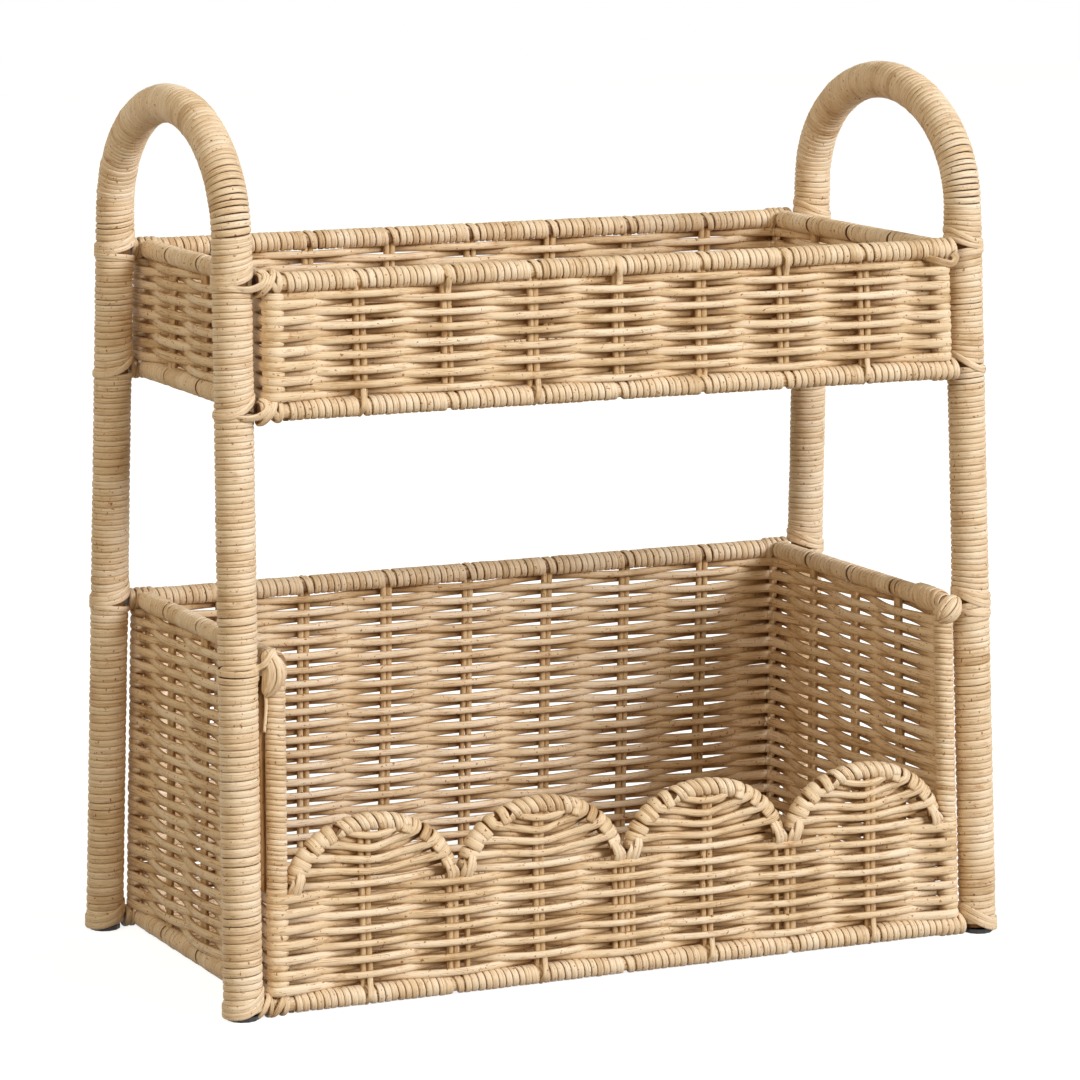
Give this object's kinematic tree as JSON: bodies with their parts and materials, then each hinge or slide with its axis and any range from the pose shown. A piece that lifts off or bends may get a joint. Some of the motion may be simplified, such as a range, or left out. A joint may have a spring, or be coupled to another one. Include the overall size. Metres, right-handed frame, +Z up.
{
  "type": "two-tier storage basket",
  "caption": "Two-tier woven cane caddy: bound arches form legs and handles and carry a shallow tray above a deep basket with a lobed low front.",
  "frame": {"origin": "middle of the footprint, on the floor under the glides", "axes": "+X to the right along the long side, -Y towards the low lobed front, +Z up"},
  "size_m": [0.445, 0.224, 0.4614],
  "materials": {
    "cane_core": "matt natural cane",
    "cane_binding": "satin natural cane peel",
    "cane_weave": "matt woven natural cane",
    "glide": "matt black"
  },
  "bodies": {
    "root": {"glide_left_front": "glide", "glide_left_back": "glide", "glide_right_front": "glide", "glide_right_back": "glide", "arch_core_left": "cane_core", "arch_core_right": "cane_core", "arch_binding_left": "cane_binding", "arch_binding_right": "cane_binding", "tray_bottom_rail_front": "cane_binding", "tray_bottom_rail_back": "cane_binding", "tray_bottom_rail_left": "cane_binding", "tray_bottom_rail_right": "cane_binding", "tray_top_rail_front": "cane_binding", "tray_top_rail_back": "cane_binding", "tray_top_rail_left": "cane_binding", "tray_top_rail_right": "cane_binding", "basket_bottom_rail_front": "cane_binding", "basket_bottom_rail_back": "cane_binding", "basket_bottom_rail_left": "cane_binding", "basket_bottom_rail_right": "cane_binding", "basket_top_rail_back": "cane_binding", "basket_top_rail_left": "cane_binding", "basket_top_rail_right": "cane_binding", "tray_column_left_front": "cane_binding", "tray_column_left_back": "cane_binding", "tray_column_right_front": "cane_binding", "tray_column_right_back": "cane_binding", "basket_column_left_front": "cane_binding", "basket_column_left_back": "cane_binding", "basket_column_right_front": "cane_binding", "basket_column_right_back": "cane_binding", "tray_wall_front": "cane_weave", "tray_wall_back": "cane_weave", "tray_wall_left": "cane_weave", "tray_wall_right": "cane_weave", "basket_wall_front": "cane_weave", "basket_wall_back": "cane_weave", "basket_wall_left": "cane_weave", "basket_wall_right": "cane_weave", "tray_floor": "cane_weave", "basket_floor": "cane_weave", "hoop_core_1": "cane_core", "hoop_core_2": "cane_core", "hoop_core_3": "cane_core", "hoop_core_4": "cane_core", "hoop_binding_1": "cane_binding", "hoop_binding_2": "cane_binding", "hoop_binding_3": "cane_binding", "hoop_binding_4": "cane_binding", "tray_lashing_left_front": "cane_binding", "tray_lashing_left_back": "cane_binding", "tray_lashing_right_front": "cane_binding", "tray_lashing_right_back": "cane_binding", "basket_lashing_left_front": "cane_binding", "basket_lashing_left_back": "cane_binding", "basket_lashing_right_front": "cane_binding", "basket_lashing_right_back": "cane_binding"}
  },
  "joints": []
}
